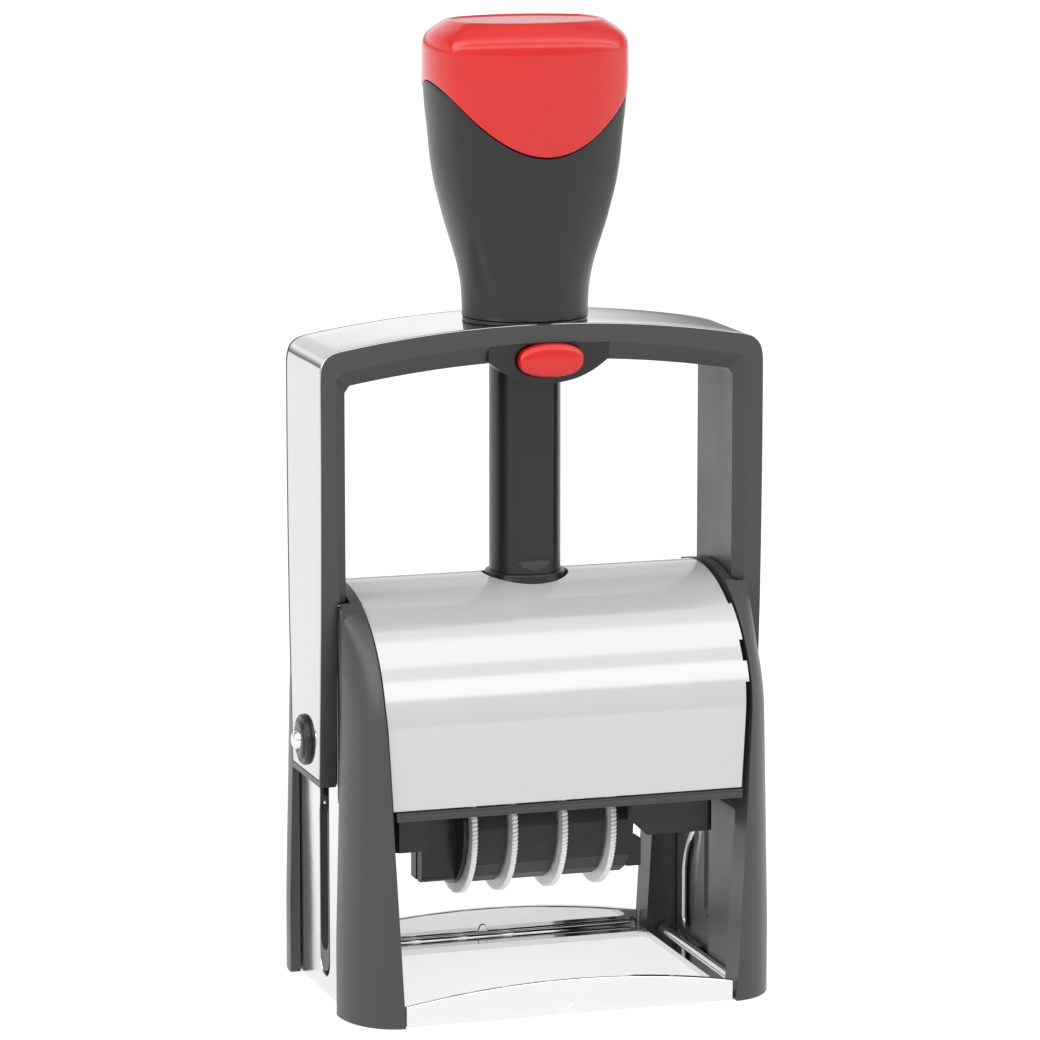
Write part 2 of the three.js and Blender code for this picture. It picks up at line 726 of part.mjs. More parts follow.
// Thumb wheel: a knurled rim with a smooth hub that carries the date band beside it.
function makeThumbWheel({ wheel, end }) {
  const teeth = 44;
  const rim = [];
  for (let i = 0; i < 2 * teeth; i++) {
    const angle = (i * Math.PI) / teeth;
    const radius = i % 2 ? WHEEL_RADIUS : WHEEL_RADIUS - 0.45;
    rim.push([radius * Math.cos(angle), AXLE_Z + radius * Math.sin(angle)]);
  }
  const disc = prism(polygon(rim), "x", wheel - WHEEL_THICKNESS / 2, wheel + WHEEL_THICKNESS / 2);
  const hub = cylinder("x", HUB_RADIUS, wheel, end, [0, AXLE_Z], 32);
  return cut(join(disc, hub), cylinder("x", AXLE_RADIUS + 0.06, -30, 30, [0, AXLE_Z], 24));
}

// Outline of a belt round the wheel and over the nose at the print face, as (Y, Z) points.
function beltOutline(wheelRadius, noseRadius) {
  const noseZ = PIVOT_Z + FACE_HEIGHT - NOSE_RADIUS;
  const lean = Math.asin((wheelRadius - noseRadius) / (noseZ - AXLE_Z));
  const points = [];
  const arc = (z, radius, from, to, steps) => {
    for (let i = 0; i <= steps; i++) {
      const angle = from + ((to - from) * i) / steps;
      points.push([radius * Math.cos(angle), z + radius * Math.sin(angle)]);
    }
  };
  arc(noseZ, noseRadius, lean, Math.PI - lean, 6);
  arc(AXLE_Z, wheelRadius, Math.PI - lean, 2 * Math.PI + lean, 24);
  return points;
}

function makeDateBand({ wheel, end }) {
  const from = wheel + WHEEL_THICKNESS / 2 + 0.2;
  const outside = prism(polygon(beltOutline(BAND_RADIUS, NOSE_RADIUS)), "x", from, end - 0.1);
  const inner = polygon(beltOutline(BAND_RADIUS - BAND_THICKNESS, NOSE_RADIUS - BAND_THICKNESS + 0.1));
  return cut(outside, prism(inner, "x", from - 1, end + 1));
}

const FACE_Z = PIVOT_Z + FACE_HEIGHT;
const PLATE_HALF_WIDTH = 29;
const bandWindow = () => box([-13.2, 17.7], [-3.6, 3.6], [FACE_Z - 6, FACE_Z + 1]);

function makePlateMount() {
  const plate = prism(roundedRectangle(PLATE_HALF_WIDTH, 18.3, 1), "z", FACE_Z - 3.2, FACE_Z - 1.9, 3);
  return cut(plate, bandWindow());
}

// Rubber printing plate: a border and rows of plain raised bars round the window for the date.
function makeTextPlate() {
  const relief = [FACE_Z - 1.1, FACE_Z];
  const sheet = prism(roundedRectangle(PLATE_HALF_WIDTH, 18.3, 1), "z", FACE_Z - 1.6, FACE_Z - 1, 3);
  const border = cut(
    prism(roundedRectangle(28, 17.3, 1), "z", ...relief, 3),
    prism(roundedRectangle(27, 16.3, 0.6), "z", FACE_Z - 2, FACE_Z + 1, 3),
  );
  const rows = [
    [-22, 22, 12],
    [-17, 17, 8],
    [-17, 17, -8],
    [-22, 22, -12],
  ];
  const bars = rows.map(([from, to, y]) => box([from, to], [y - 0.9, y + 0.9], relief));
  return cut(join(sheet, border, ...bars), bandWindow());
}

// ---------------------------------------------------------------- assembly

function mesh(name, solid, material, mirrored = false) {
  const made = new THREE.Mesh(toGeometry(solid), material);
  made.name = name;
  if (mirrored) made.scale.x = -1;
  return made;
}

const base = new THREE.Group();
base.add(
  mesh("base_frame", makeBaseFrame(), chrome),
  mesh("cheek_right", makeCheek(), darkPlastic),
  mesh("cheek_left", makeCheek(), darkPlastic, true),
  mesh("barrel_cover", makeBarrelCover(), pearlSteel),
  mesh("front_rim", makeRim(true), darkPlastic),
  mesh("rear_rim", makeRim(false), darkPlastic),
  mesh("cross_bridge", makeCrossBridge(), blackPlastic),
  mesh("column", makeColumn(), blackPlastic),
  mesh("column_collar", makeColumnCollar(), blackPlastic),
  mesh("pad_tray", makePadTray(), blackPlastic),
  mesh("ink_pad", makeInkPad(), padFoam),
  mesh("return_spring", makeReturnSpring(), springSteel),
);
SCREW_PLACES.forEach((x, i) =>
  base.add(mesh(`bridge_screw_${i + 1}`, makeBridgeScrew(x), springSteel)),
);

const printUnit = new THREE.Group();
printUnit.add(
  mesh("print_frame", makePrintFrame(), blackPlastic),
  mesh("date_bracket", makeDateBracket(), blackPlastic),
  mesh("wheel_axle", makeWheelAxle(), springSteel),
  mesh("plate_mount", makePlateMount(), blackPlastic),
  mesh("text_plate", makeTextPlate(), stampRubber),
);
BAND_SPANS.forEach((span, i) => {
  printUnit.add(mesh(`thumb_wheel_${i + 1}`, makeThumbWheel(span), whitePlastic));
  printUnit.add(mesh(`date_band_${i + 1}`, makeDateBand(span), bandRubber));
});

const yoke = new THREE.Group();
yoke.add(
  mesh("yoke_frame", makeYokeFrame(), darkPlastic),
  mesh("chrome_band", makeChromeBand(), chrome),
  mesh("handle_grip", makeHandleGrip(), darkPlastic),
  mesh("handle_cap", makeHandleCap(), redPlastic),
  mesh("handle_core", makeHandleCore(), blackPlastic),
  mesh("pivot_pin_right", makePivotPin(), chrome),
  mesh("pivot_pin_left", makePivotPin(), chrome, true),
  mesh("pivot_boss_right", makePivotBoss(), blackPlastic),
  mesh("pivot_boss_left", makePivotBoss(), blackPlastic, true),
  mesh("lock_button", makeLockButton(), redPlastic),
  printUnit,
);

const stamp = new THREE.Group();
stamp.add(base, yoke);

export default stamp;
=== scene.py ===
"""Looks of the rotary date stamp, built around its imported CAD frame."""

import math

import bmesh
import bpy
from mathutils import Matrix, Vector


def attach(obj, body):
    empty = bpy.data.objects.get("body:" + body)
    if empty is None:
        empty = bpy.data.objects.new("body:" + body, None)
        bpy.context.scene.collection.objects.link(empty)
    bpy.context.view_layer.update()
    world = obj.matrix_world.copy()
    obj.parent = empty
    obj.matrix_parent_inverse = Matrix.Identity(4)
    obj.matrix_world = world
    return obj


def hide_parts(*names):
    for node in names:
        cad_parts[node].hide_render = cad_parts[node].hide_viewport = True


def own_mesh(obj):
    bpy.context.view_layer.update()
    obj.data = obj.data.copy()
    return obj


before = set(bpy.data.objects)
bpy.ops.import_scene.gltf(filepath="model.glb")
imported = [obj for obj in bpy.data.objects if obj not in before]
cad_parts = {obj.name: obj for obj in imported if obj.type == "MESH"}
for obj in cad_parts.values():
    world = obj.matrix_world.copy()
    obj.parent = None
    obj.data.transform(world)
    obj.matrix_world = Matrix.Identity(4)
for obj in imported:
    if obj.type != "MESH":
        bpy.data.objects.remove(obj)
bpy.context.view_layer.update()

MM = 0.001
SMOOTH_ANGLE = math.radians(28)
FLAT_ANGLE = math.radians(0.6)
WELD = 0.004

# ------------------------------------------------------------------ camera

CAMERA_PLACE = (-291.0, -910.2, 256.1)
CAMERA_TARGET = (-0.825, 0.263, 85.35)
camera_data = bpy.data.cameras.new("camera")
camera_data.sensor_width = 36
camera_data.lens = 185.04
camera_data.clip_start = 0.05
camera_data.clip_end = 60
camera = bpy.data.objects.new("camera", camera_data)
camera.location = Vector(CAMERA_PLACE) * MM
aim = (Vector(CAMERA_TARGET) - Vector(CAMERA_PLACE)).to_track_quat("-Z", "Y")
camera.rotation_euler = aim.to_euler()
bpy.context.scene.collection.objects.link(camera)
bpy.context.scene.camera = camera
bpy.context.scene.view_settings.view_transform = "Standard"


# ------------------------------------------------------------------ materials

def noise(tree, vector, scale, detail=3.0, roughness=0.5):
    made = tree.nodes.new("ShaderNodeTexNoise")
    made.inputs["Scale"].default_value = scale
    made.inputs["Detail"].default_value = detail
    made.inputs["Roughness"].default_value = roughness
    tree.links.new(vector, made.inputs["Vector"])
    return made.outputs["Fac"]


def spread(tree, value, low, high, source=(0.3, 0.7)):
    """value, taken from its source range to low..high."""
    made = tree.nodes.new("ShaderNodeMapRange")
    made.inputs["From Min"].default_value = source[0]
    made.inputs["From Max"].default_value = source[1]
    made.inputs["To Min"].default_value = low
    made.inputs["To Max"].default_value = high
    tree.links.new(value, made.inputs["Value"])
    return made.outputs["Result"]


def surface(name, color, roughness, metallic=0.0, vary=0.06, grain=900.0, bump=0.02,
            smear=0.25, coat=0.0, coat_roughness=0.05, specular=0.5, stretch=(1, 1, 1)):
    """A procedural finish: drifting colour, fine grain in the bump, smears in the gloss."""
    made = bpy.data.materials.new(name)
    made.use_nodes = True
    tree = made.node_tree
    shader = tree.nodes["Principled BSDF"]
    shader.inputs["Metallic"].default_value = metallic
    shader.inputs["Specular IOR Level"].default_value = specular
    shader.inputs["Coat Weight"].default_value = coat
    shader.inputs["Coat Roughness"].default_value = coat_roughness
    place = tree.nodes.new("ShaderNodeTexCoord").outputs["Object"]
    if stretch != (1, 1, 1):
        mapping = tree.nodes.new("ShaderNodeMapping")
        mapping.inputs["Scale"].default_value = stretch
        tree.links.new(place, mapping.inputs["Vector"])
        place = mapping.outputs["Vector"]

    drift = noise(tree, place, 28.0, 4.0)
    mix = tree.nodes.new("ShaderNodeMix")
    mix.data_type = "RGBA"
    mix.inputs["A"].default_value = (*[c * (1 - vary) for c in color], 1)
    mix.inputs["B"].default_value = (*[min(1, c * (1 + vary)) for c in color], 1)
    tree.links.new(spread(tree, drift, 0, 1), mix.inputs["Factor"])
    tree.links.new(mix.outputs["Result"], shader.inputs["Base Color"])

    smears = noise(tree, place, 60.0, 5.0, 0.6)
    gloss = spread(tree, smears, roughness * (1 - smear), roughness * (1 + smear))
    tree.links.new(gloss, shader.inputs["Roughness"])

    fine = noise(tree, place, grain, 2.0)
    relief = tree.nodes.new("ShaderNodeBump")
    relief.inputs["Strength"].default_value = bump
    relief.inputs["Distance"].default_value = 0.0004
    tree.links.new(fine, relief.inputs["Height"])
    tree.links.new(relief.outputs["Normal"], shader.inputs["Normal"])
    return made


FINISH = {
    "dark_plastic": surface("dark_plastic", (0.041, 0.039, 0.038), 0.36, grain=700, bump=0.03,
                            smear=0.15),
    "grip_plastic": surface("grip_plastic", (0.014, 0.0135, 0.013), 0.33, grain=700, bump=0.02,
                            smear=0.15, specular=0.42),
    "black_plastic": surface("black_plastic", (0.012, 0.0115, 0.011), 0.28, bump=0.02, smear=0.15,
                             specular=0.42),
    "red_plastic": surface("red_plastic", (0.545, 0.005, 0.004), 0.24, vary=0.02, grain=600,
                           bump=0.012, smear=0.1, coat=0.6, coat_roughness=0.06, specular=0.3),
    "white_plastic": surface("white_plastic", (0.93, 0.92, 0.90), 0.40, bump=0.05),
    "chromed_steel": surface("chromed_steel", (0.78, 0.785, 0.79), 0.06, 1.0, vary=0.015,
                             bump=0.008, grain=120, smear=0.4),
    "band_chrome": surface("band_chrome", (0.60, 0.605, 0.61), 0.06, 1.0, vary=0.015, bump=0.008,
                           grain=120, smear=0.4),
    "satin_steel": surface("satin_steel", (0.74, 0.74, 0.75), 0.16, 0.95, vary=0.03, bump=0.04,
                           grain=900, smear=0.3, specular=0.4),
    "pearl_steel": surface("pearl_steel", (0.51, 0.51, 0.52), 0.11, 0.22, vary=0.012, bump=0.006,
                           grain=900, smear=0.15, specular=0.6),
    "spring_steel": surface("spring_steel", (0.42, 0.42, 0.43), 0.3, 1.0, bump=0.05),
    "band_rubber": surface("band_rubber", (0.013, 0.0125, 0.0125), 0.5, bump=0.12, grain=1200),
    "stamp_rubber": surface("stamp_rubber", (0.50, 0.45, 0.40), 0.6, bump=0.12, grain=1200),
    "pad_felt": surface("pad_felt", (0.012, 0.012, 0.035), 0.9, vary=0.3, bump=0.8, grain=2600),
}


# ------------------------------------------------------------------ mesh tools

def placed(axis, u, v, w):
    """A point drawn in the plane across `axis` at w along it, in millimetres."""
    return {"x": (w, u, v), "y": (u, w, v), "z": (u, v, w)}[axis]


def raw_object(vertices, faces):
    """A mesh object from points in millimetres, with its faces turned outwards."""
    mesh = bpy.data.meshes.new("shape")
    mesh.from_pydata([[c * MM for c in v] for v in vertices], [], faces)
    mesh.validate()
    shape = bmesh.new()
    shape.from_mesh(mesh)
    bmesh.ops.recalc_face_normals(shape, faces=shape.faces)
    shape.to_mesh(mesh)
    shape.free()
    made = bpy.data.objects.new("shape", mesh)
    bpy.context.scene.collection.objects.link(made)
    return made


def prism(outline, axis, low, high):
    """The closed outline, a list of (u, v), from low to high along the axis."""
    count = len(outline)
    vertices = [placed(axis, u, v, w) for w in (low, high) for u, v in outline]
    faces = [list(range(count)), list(range(count, 2 * count))]
    faces += [[i, (i + 1) % count, count + (i + 1) % count, count + i] for i in range(count)]
    return raw_object(vertices, faces)


def block(x, y, z):
    """A box from three (low, high) pairs."""
    return prism([(x[0], y[0]), (x[1], y[0]), (x[1], y[1]), (x[0], y[1])], "z", *z)


def grid(rings):
    """Quads through rings of equal count. Each end is closed with a fan round its middle."""
    count = len(rings[0])
    vertices = [p for ring in rings for p in ring]
    faces = []
    for r in range(len(rings) - 1):
        for i in range(count):
            j = (i + 1) % count
            a, b = r * count, (r + 1) * count
            faces.append([a + i, a + j, b + j, b + i])
    for r in (0, len(rings) - 1):
        middle = [sum(p[k] for p in rings[r]) / count for k in range(3)]
        vertices.append(middle)
        for i in range(count):
            faces.append([len(vertices) - 1, r * count + i, r * count + (i + 1) % count])
    return raw_object(vertices, faces)


def lathe(profile, axis="z", centre=(0, 0), sides=64):
    """A (radius, height) profile turned about an axis and closed flat at both ends."""
    rings = []
    for radius, height in profile:
        ring = []
        for i in range(sides):
            angle = 2 * math.pi * i / sides
            u = centre[0] + radius * math.cos(angle)
            v = centre[1] + radius * math.sin(angle)
            ring.append(placed(axis, u, v, height))
        rings.append(ring)
    return grid(rings)


def circle(u, v, radius, sides=48):
    """A round outline about (u, v)."""
    steps = [2 * math.pi * i / sides for i in range(sides)]
    return [(u + radius * math.cos(a), v + radius * math.sin(a)) for a in steps]


def rounded(half_u, half_v, radius, u=0.0, v=0.0, steps=8):
    """A rectangle about (u, v) with round corners."""
    points = []
    corners = ((1, 1, 0), (-1, 1, 90), (-1, -1, 180), (1, -1, 270))
    for side_u, side_v, start in corners:
        for i in range(steps + 1):
            angle = math.radians(start + 90 * i / steps)
            points.append((u + side_u * (half_u - radius) + radius * math.cos(angle),
                           v + side_v * (half_v - radius) + radius * math.sin(angle)))
    return points


def combine(target, operation, *others):
    """The target joined with, cut by or kept inside the others, which are used up."""
    for other in others:
        step = target.modifiers.new("step", "BOOLEAN")
        step.operation = operation
        step.solver = "MANIFOLD"
        step.object = other
    bpy.context.view_layer.update()
    graph = bpy.context.evaluated_depsgraph_get()
    mesh = bpy.data.meshes.new_from_object(target.evaluated_get(graph))
    target.modifiers.clear()
    target.data = mesh
    for other in others:
        bpy.data.objects.remove(other)
    return target


def join(target, *others):
    return combine(target, "UNION", *others)


def cut(target, *others):
    return combine(target, "DIFFERENCE", *others)


def keep(target, *others):
    return combine(target, "INTERSECT", *others)


def mirrored(shape):
    """A copy on the other side of X = 0."""
    copy = bpy.data.objects.new("shape", shape.data.copy())
    copy.data.transform(Matrix.Scale(-1, 4, (1, 0, 0)))
    copy.data.flip_normals()
    bpy.context.scene.collection.objects.link(copy)
    return copy


def soften(shape, width, segments=2, angle=SMOOTH_ANGLE):
    """Rounds the hard edges by `width` millimetres and shades the rest smooth."""
    work = bmesh.new()
    work.from_mesh(shape.data)
    bmesh.ops.remove_doubles(work, verts=work.verts, dist=WELD * MM)
    bmesh.ops.dissolve_limit(work, angle_limit=FLAT_ANGLE, verts=work.verts, edges=work.edges)
    work.to_mesh(shape.data)
    work.free()
    bevel = shape.modifiers.new("edges", "BEVEL")
    bevel.width = width * MM
    bevel.segments = segments
    bevel.limit_method = "ANGLE"
    bevel.angle_limit = angle
    bevel.miter_outer = "MITER_ARC"
    smooth(shape)
    return shape


def smooth(shape):
    """Smooth shading that follows the larger faces."""
    shape.data.shade_smooth()
    normals = shape.modifiers.new("normals", "WEIGHTED_NORMAL")
    normals.keep_sharp = True
    normals.weight = 60
    return shape


def finished(shape, name, body, slot, *replaced, finish=None):
    """Names the piece, gives it its finish and ties it to its CAD body."""
    shape.name = name
    shape.data.name = name
    shape.data.materials.clear()
    shape.data.materials.append(FINISH[finish or slot])
    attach(shape, body)
    if replaced:
        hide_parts(*replaced)
    return shape


# ------------------------------------------------------------------ shared outlines

BARREL_CENTRE_Z = 52.0
PIVOT_Z = 47.4


def barrel(half_depth, top, front_edge, rear_edge, steps=40):
    """Upright front and back with a round crown, in (Y, Z)."""
    points = [(-half_depth, front_edge)]
    for i in range(2 * steps + 1):
        angle = math.pi - i * math.pi / (2 * steps)
        points.append((half_depth * math.cos(angle),
                       BARREL_CENTRE_Z + (top - BARREL_CENTRE_Z) * math.sin(angle)))
    return points + [(half_depth, rear_edge)]


def bezier(a, b, c, d, steps):
    """Points of a cubic curve after its start a."""
    points = []
    for i in range(1, steps + 1):
        t = i / steps
        s = 1 - t
        points.append(tuple(
            s ** 3 * a[k] + 3 * s * s * t * b[k] + 3 * s * t * t * c[k] + t ** 3 * d[k]
            for k in (0, 1)))
    return points


def quadratic(a, b, c, steps):
    """Points of a quadratic curve after its start a."""
    first = [a[k] + 2 / 3 * (b[k] - a[k]) for k in (0, 1)]
    second = [c[k] + 2 / 3 * (b[k] - c[k]) for k in (0, 1)]
    return bezier(a, first, second, c, steps)


# ------------------------------------------------------------------ base

BASE_HALF_DEPTH = 28.5
PLATE_THICKNESS = 1.2
STEEL_INNER = 37.2
STEEL_OUTER = 38.2
STEEL_TOP = 37.6
STEEL_HALF_DEPTH = 21.4
SKIRT_HALF_WIDTH = 31
SKIRT_END_TOP = 3.7


def steel_plate():
    """The plate between the side steels and skirts, with the print window."""
    wide = prism(rounded(37.1, STEEL_HALF_DEPTH, 0.8), "z", 0, PLATE_THICKNESS)
    deep = prism(rounded(SKIRT_HALF_WIDTH, 27.4, 0.8), "z", 0, PLATE_THICKNESS)
    plate = join(wide, deep)
    cut(plate, prism(rounded(30.8, 20.4, 2), "z", -1, 3))
    finished(soften(plate, 0.35), "base_plate", "base", "chromed_steel", "base_frame")


def steel_skirt(name, skirt_y, fold_y, mark, mark_y):
    """An arched skirt, the folded foot inside it, and its index mark at the middle."""
    right = (SKIRT_HALF_WIDTH, SKIRT_END_TOP)
    left = (-SKIRT_HALF_WIDTH, SKIRT_END_TOP)
    outline = ([(-SKIRT_HALF_WIDTH, 0), (SKIRT_HALF_WIDTH, 0), right]
               + quadratic(right, (0, 9.1), left, 40))
    skirt = soften(prism(outline, "y", *skirt_y), 0.3)
    finished(skirt, f"{name}_skirt", "base", "chromed_steel")
    fold = prism(circle(fold_y, 1.1, 0.9, 20), "x", -30.2, 30.2)
    finished(soften(fold, 0.2), f"{name}_fold", "base", "chromed_steel")
    mark_piece = soften(prism(mark, "y", *mark_y), 0.25)
    finished(mark_piece, f"{name}_index_mark", "base", "chromed_steel")


def skirts():
    front_mark = [(-1.3, 0.0), (1.3, 0.0), (0.2, 1.9), (-0.2, 1.9)]
    rear_mark = [(-1.7, 0.4), (1.7, 0.4), (0.5, 3.4), (-0.5, 3.4)]
    steel_skirt("front", (-27.6, -26.2), -25.4, front_mark, (-27.7, -27.0))
    steel_skirt("rear", (26.2, 27.6), 25.4, rear_mark, (25.9, 27.0))


def cam_slot():
    """The curved slot in (Y, Z): upright at its foot, then swinging forwards."""
    half, foot, dwell, head, swing, quarter = 2.2, 4.2, 12.0, 21.4, 16.2, 19.0

    def centre(z):
        return swing if z < dwell else swing * math.cos(math.pi * (z - dwell) / (2 * quarter))

    heights = [foot, 8, *range(12, 21), head]
    back = [(centre(z) + half, z) for z in heights]
    front = [(centre(z) - half, z) for z in reversed(heights)]

    def end(y, z, start):
        turns = [start + i * math.pi / 8 for i in range(1, 8)]
        return [(y + half * math.cos(a), z + half * math.sin(a)) for a in turns]

    return back + end(centre(head), head, 0) + front + end(centre(foot), foot, math.pi)


def steel_sides():
    """Side steels with a narrow tongue inside the yoke's legs, and the rails at their feet."""
    tongue, tongue_top, corner = 8.8, 75.4, 2.0
    front = [(-STEEL_HALF_DEPTH, STEEL_TOP), (-tongue, STEEL_TOP), (-tongue, tongue_top - corner),
             (corner - tongue, tongue_top)]
    outline = [(-STEEL_HALF_DEPTH, 0), (STEEL_HALF_DEPTH, 0)]
    outline += [(-y, z) for y, z in front] + front[::-1]
    side = prism(outline, "x", STEEL_INNER, STEEL_OUTER)
    cut(side, prism(rounded(3.3, 24.4, 3.2, 0, 27.6, 16), "x", 36, 39))
    other = mirrored(side)
    cut(side, prism(cam_slot(), "x", 36, 39))
    rail = prism(circle(34.2, 1.1, 1.0, 24), "y", -21, 21)
    other_rail = mirrored(rail)
    for shape, name in ((side, "side_steel_right"), (other, "side_steel_left"),
                        (rail, "side_rail_right"), (other_rail, "side_rail_left")):
        finished(soften(shape, 0.25), name, "base", "chromed_steel", finish="satin_steel")


LEG_FOOT_INNER = 31.2
LEG_OUTER = 40.4
CHEEK_INNER = 34.4
CHEEK_TAPER_TOP = 58
CHEEK_RISE = 24.2  # from the barrel's centre to the top of the round shoulder
FLAT_TO = 16.4  # the outside is flat to this depth and rounds off in front of it
SHOULDER_STOP = 12.8  # the same towards the crown, where the shoulder comes in to the yoke's leg


def cheek_ring(depth, z):
    """Plan of a cheek at one height: rounded outside, as deep as the barrel is there."""
    taper = ((14, 0.0), (50, 0.9), (64, 1.3), (80, 2.2))
    outer = LEG_OUTER
    for (low, a), (high, b) in zip(taper, taper[1:]):
        if low < z <= high:
            outer = LEG_OUTER - a - (b - a) * (z - low) / (high - low)
    round_x = outer - LEG_FOOT_INNER
    round_y = min(BASE_HALF_DEPTH - FLAT_TO, max(0.5, depth - SHOULDER_STOP))
    front = [(30, -depth, z)]
    for i in range(21):
        angle = math.radians(-90 + 90 * i / 20)
        front.append((LEG_FOOT_INNER + round_x * math.cos(angle),
                      round_y - depth + round_y * math.sin(angle), z))
    return front + [(x, -y, z) for x, y, _ in reversed(front)]


def cheeks():
    """Both cheeks: legs, round shoulders, room for the yoke's legs, a web with the pin's slot."""
    levels = [(BASE_HALF_DEPTH, z) for z in (0, 14, 26, 38, 50, BARREL_CENTRE_Z)]
    for i in range(1, 45):
        angle = math.radians(2 * i)
        levels.append((BASE_HALF_DEPTH * math.cos(angle),
                       BARREL_CENTRE_Z + CHEEK_RISE * math.sin(angle)))
    body = grid([cheek_ring(*level) for level in levels])
    lip = [(12.0, 70), (14.2, 70), (14.2, 72.9), (12.0, 74.5)]
    join(body, prism(lip, "x", 30, 38.3), prism([(-y, z) for y, z in lip], "x", 30, 38.3))

    inner = [(20, -1), (LEG_FOOT_INNER, -1), (LEG_FOOT_INNER, 0), (CHEEK_INNER, CHEEK_TAPER_TOP),
             (CHEEK_INNER, 80), (20, 80)]
    yoke_room = [(-15.6, -1), (15.6, -1), (15.6, 56), (12.2, 70),
                 (12.2, 80), (-12.2, 80), (-12.2, 70), (-15.6, 56)]
    gap = 0.3
    steel_room = (-0.5 - STEEL_HALF_DEPTH, 0.5 + STEEL_HALF_DEPTH)
    cut(body, prism(inner, "y", -40, 40),
        block((29, STEEL_OUTER + gap), steel_room, (-1, 34)),
        block((STEEL_INNER - gap, STEEL_OUTER + gap), steel_room, (-1, STEEL_TOP + gap)),
        prism(yoke_room, "x", 36.2, 50))

    web_front, web_bottom, web_top = -22.3, 2, 36
    web = [(web_front, web_bottom), (9.9, web_bottom), (3.6, 26),
           (3.6, web_top), (web_front, web_top)]
    liner = prism(rounded(3, 15.9, 2.9, 0, 20, 16), "x", 36.5, STEEL_OUTER)
    join(body, prism(web, "x", 35.9, STEEL_INNER - gap),
         block((34.9, STEEL_INNER - gap), (web_front, -2.7), (web_bottom, web_top)), liner)
    pin_slot = prism(rounded(2.5, 21.4, 2.4, 0, 29.4, 16), "x", 33, 40)
    cut(body, pin_slot)

    other = mirrored(body)
    finished(soften(body, 0.4, 3), "cheek_shell_right", "base", "dark_plastic", "cheek_right")
    finished(soften(other, 0.4, 3), "cheek_shell_left", "base", "dark_plastic", "cheek_left")


def cover():
    """The barrel's sheet. Its left edge follows the cheek, and two tabs reach the right cheek."""
    half_depth, top, skin = 27.3, 76.0, 0.5
    front_edge, rear_edge = 39.4, 41.8
    outside = barrel(half_depth, top, front_edge, rear_edge)
    inside = barrel(half_depth - skin, top - skin, front_edge, rear_edge)
    sheet = prism(outside + inside[::-1], "x", -34.1, 34)
    left = [(-33.0, 30), (-33.0, 39.4), (-34.1, 58), (-34.1, 80), (-40, 80), (-40, 30)]
    right = [(32.3, 30), (32.3, 39.4), (33.3, 58.5), (34.05, 58.5), (34.05, 62), (33.3, 62),
             (33.3, 65.5), (34.05, 65.5), (34.05, 71), (33.3, 71), (33.3, 80), (40, 80), (40, 30)]
    cut(sheet, prism(left, "y", -40, 40), prism(right, "y", -40, 40),
        prism(circle(0, 0, 7.9, 96), "z", 60, 90))
    finished(soften(sheet, 0.16), "cover_sheet", "base", "pearl_steel", "barrel_cover")


def column():
    """The column, whose front is cut flat above a rounded run-out, and the collar at its foot."""
    rings = []
    full, chamfered, top = 6.5, 6.0, 132
    flat_from, flat_to, flat_depth = 77.2, 79.4, 1.0
    heights = [69.0, 76.6, 77.2, 77.5, 77.9, 78.3, 78.7, 79.1, 79.4, 79.8, 100, 120, 131.4, top]
    for z in heights:
        share = min(1, max(0, (z - flat_from) / (flat_to - flat_from)))
        front = -full + flat_depth * math.sin(share * math.pi / 2)
        radius = full if z < top else chamfered
        ring = []
        for i in range(96):
            angle = 2 * math.pi * i / 96
            x, y = radius * math.cos(angle), radius * math.sin(angle)
            ring.append((x, max(y, front) if z > flat_from else y, z))
        rings.append(ring)
    finished(soften(grid(rings), 0.2), "column_post", "base", "black_plastic", "column")
    collar = lathe([(6.4, 72.2), (7.6, 72.2), (7.6, 75.0), (7.3, 75.6), (7.3, 76.1), (7.2, 76.35),
                    (6.95, 76.5), (6.45, 76.5)])
    finished(smooth(collar), "collar_ring", "base", "black_plastic", "column_collar")


def return_spring():
    """The coil inside the column, which closes up under the handle's core."""
    wire, radius, foot, head, turns, steps = 0.55, 3.9, 68.6, 127.0, 11, 28
    rings = []
    for i in range(turns * steps + 1):
        angle = 2 * math.pi * i / steps
        height = foot + (head - foot) * i / (turns * steps)
        ring = []
        for k in range(10):
            around = 2 * math.pi * k / 10
            out = radius + wire * math.cos(around)
            ring.append((out * math.cos(angle), out * math.sin(angle),
                         height + wire * math.sin(around)))
        rings.append(ring)
    coil = finished(smooth(grid(rings)), "coil_spring", "base", "spring_steel", "return_spring")
    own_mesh(coil)


steel_plate()
skirts()
steel_sides()
cheeks()
cover()
column()
return_spring()

# ------------------------------------------------------------------ yoke

YOKE_SIDE = 41.5
YOKE_TOP = 122.7
YOKE_FOOT = 40.4
LEG_ROOM = (36.9, 38.5)  # the side steel's tongue runs here inside the leg
BUTTON_X = 0.9
BUTTON_Z = 116.4
# Heights with the yoke's half depth there.
DEPTHS = ((30, 9.4), (40.4, 9.4), (57, 10.3), (70, 11.1), (82, 11.5), (98, 11.8), (140, 11.8))


def yoke_depth(z):
    """The yoke's half depth at a height."""
    for (low, a), (high, b) in zip(DEPTHS, DEPTHS[1:]):
        if z <= high:
            return a + (b - a) * (z - low) / (high - low)
    return DEPTHS[-1][1]


def yoke_path(inset, bottom):
    """Outer edge of the yoke in (X, Z), from the right foot over the top to the left foot."""
    side, top = YOKE_SIDE - inset, YOKE_TOP - inset
    shoulder = (37.9 - inset / 4, 119.4 - inset)
    right = [(side, bottom + (113.8 - bottom) * i / 24) for i in range(25)]
    right += bezier((side, 113.8), (side, 117.4), (side - 0.7, shoulder[1] - 0.6), shoulder, 12)
    control = (shoulder[0] / 2, top + (top - shoulder[1]) * 0.02)
    right += quadratic(shoulder, control, (0, top), 20)
    return right + [(-x, z) for x, z in reversed(right[:-1])]


